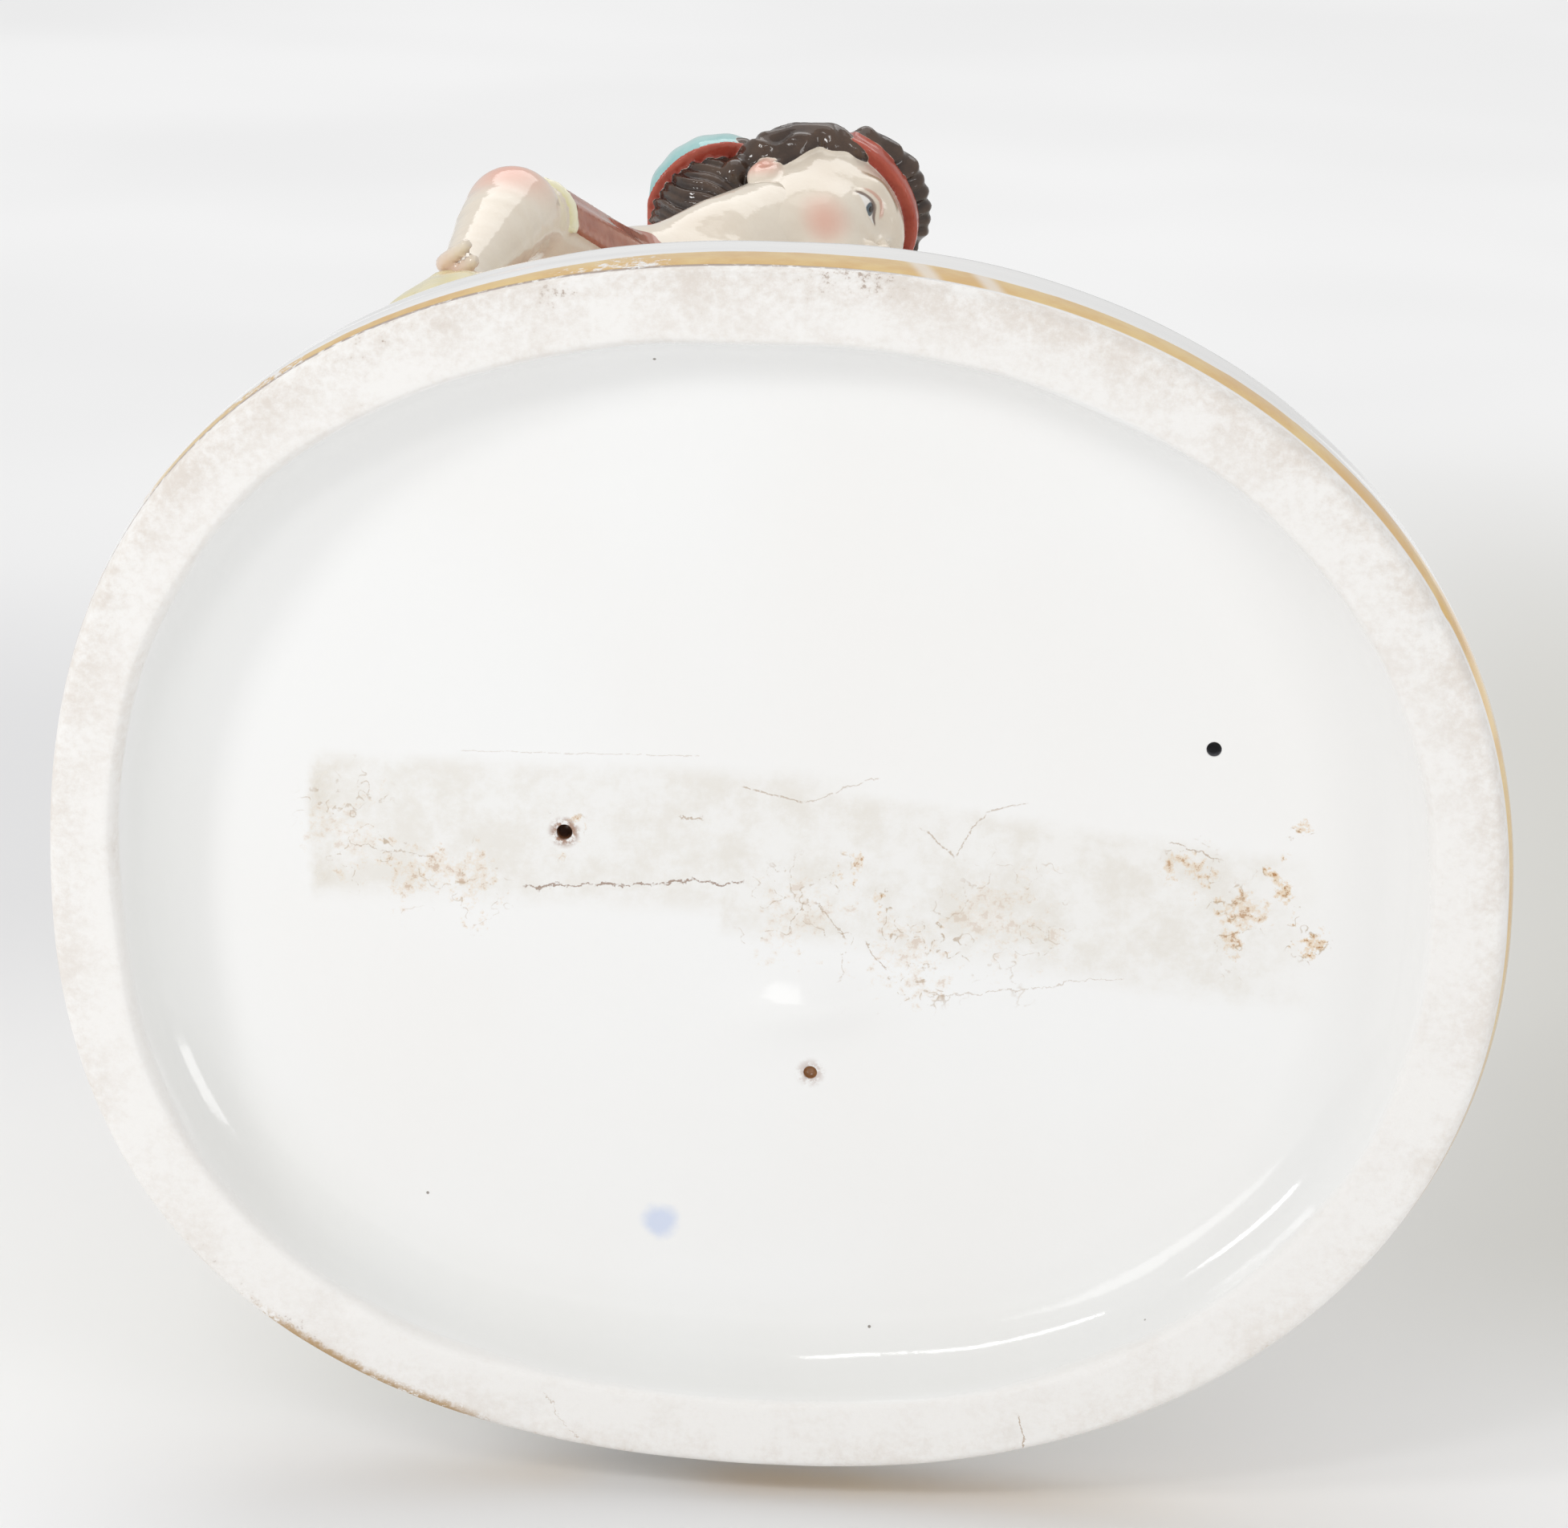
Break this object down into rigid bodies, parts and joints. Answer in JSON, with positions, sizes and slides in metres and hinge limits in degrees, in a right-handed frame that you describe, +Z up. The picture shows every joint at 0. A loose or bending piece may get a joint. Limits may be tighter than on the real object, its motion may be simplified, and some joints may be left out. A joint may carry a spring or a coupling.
{
  "type": "porcelain figure group",
  "caption": "Porcelain figure group of a seated woman bending towards a child on an oval flower-strewn base with a gilt edge, recessed underneath.",
  "frame": {"origin": "middle of the oval base's outline, on the plane it stands on", "axes": "+Z up from the foot rim to the woman's head, +X along the base's long way from the woman's side to the child's, -Y to the front"},
  "size_m": [0.175, 0.1504, 0.1829],
  "materials": {
    "porcelain": "glazed hard-paste porcelain, painted in enamels, with gilding; unglazed foot rim"
  },
  "bodies": {
    "root": {"figure_group": "porcelain"}
  },
  "joints": []
}
